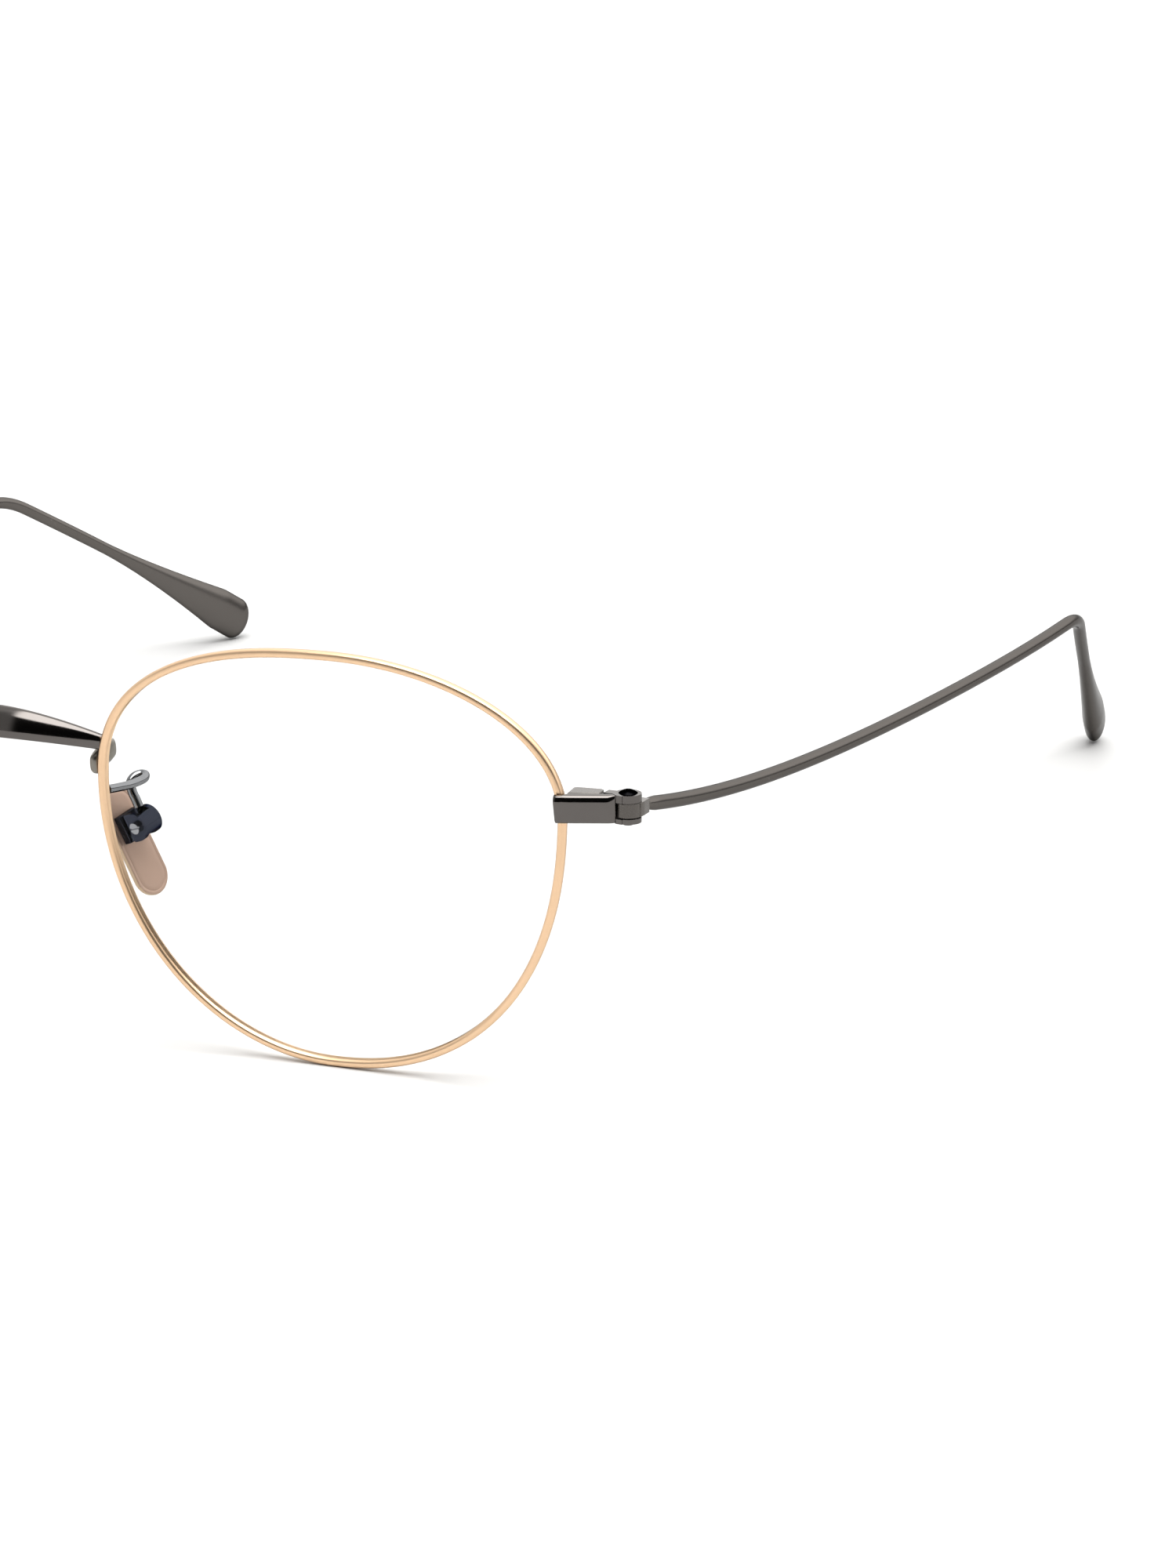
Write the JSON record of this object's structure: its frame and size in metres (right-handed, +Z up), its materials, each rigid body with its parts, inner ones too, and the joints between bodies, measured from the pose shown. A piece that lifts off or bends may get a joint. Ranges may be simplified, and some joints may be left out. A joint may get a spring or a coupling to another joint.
{
  "type": "eyeglasses",
  "caption": "Full-rim wire eyeglasses with a saddle bridge, screwed rim locks, folding skull temples ending in flat paddles, and rocking metal nose pads on wire arms.",
  "frame": {"origin": "middle of the plan box, on the table plane that the two rims and the two temple tips stand on", "axes": "+X towards the wearer's left (the viewer's right), +Y from the front back to the temple tips, +Z up; the hinge axes are parallel to +Z"},
  "size_m": [0.1384, 0.1524, 0.0417],
  "materials": {
    "rim_gold": "satin champagne gold plating",
    "lens_clear": "clear, polished",
    "gunmetal_polished": "polished gunmetal plating",
    "gunmetal_satin": "satin gunmetal plating",
    "pad_hardware": "dark blue-grey plating",
    "screw_dark": "blackened steel",
    "screw_bright": "bright steel",
    "pad_titanium": "matte titanium, pale gold edge"
  },
  "bodies": {
    "front": {"rim_left": "rim_gold", "lens_left": "lens_clear", "rim_right": "rim_gold", "lens_right": "lens_clear", "bridge": "gunmetal_polished", "endpiece_left": "gunmetal_polished", "rim_lock_upper_left": "gunmetal_satin", "rim_lock_lower_left": "gunmetal_satin", "rim_lock_screw_left": "screw_dark", "front_hinge_left": "gunmetal_polished", "hinge_screw_left": "screw_dark", "pad_arm_left": "pad_hardware", "pad_box_left": "pad_hardware", "pad_screw_left": "screw_bright", "endpiece_right": "gunmetal_polished", "rim_lock_upper_right": "gunmetal_satin", "rim_lock_lower_right": "gunmetal_satin", "rim_lock_screw_right": "screw_dark", "front_hinge_right": "gunmetal_polished", "hinge_screw_right": "screw_dark", "pad_arm_right": "pad_hardware", "pad_box_right": "pad_hardware", "pad_screw_right": "screw_bright"},
    "temple_left": {"temple_hinge_left": "gunmetal_satin", "temple_left": "gunmetal_satin"},
    "nose_pad_left": {"nose_pad_left": "pad_titanium", "pad_boss_left": "pad_hardware"},
    "temple_right": {"temple_hinge_right": "gunmetal_satin", "temple_right": "gunmetal_satin"},
    "nose_pad_right": {"nose_pad_right": "pad_titanium", "pad_boss_right": "pad_hardware"}
  },
  "joints": [
    {"name": "temple_left_fold", "type": "hinge", "parent": "front", "child": "temple_left", "pos_m": [0.0636, -0.0676, 0.02862], "axis": [0, 0, 1], "range_deg": [0, 87]},
    {"name": "temple_right_fold", "type": "hinge", "parent": "front", "child": "temple_right", "pos_m": [-0.0636, -0.0676, 0.02862], "axis": [0, 0, -1], "range_deg": [0, 69]},
    {"name": "nose_pad_left_rock", "type": "hinge", "parent": "front", "child": "nose_pad_left", "pos_m": [0.01133, -0.06669, 0.02065], "axis": [0.2046, 0.9521, 0.2273], "range_deg": [-8, 8]},
    {"name": "nose_pad_right_rock", "type": "hinge", "parent": "front", "child": "nose_pad_right", "pos_m": [-0.01133, -0.06669, 0.02065], "axis": [0.2046, -0.9521, -0.2273], "range_deg": [-8, 8]}
  ]
}
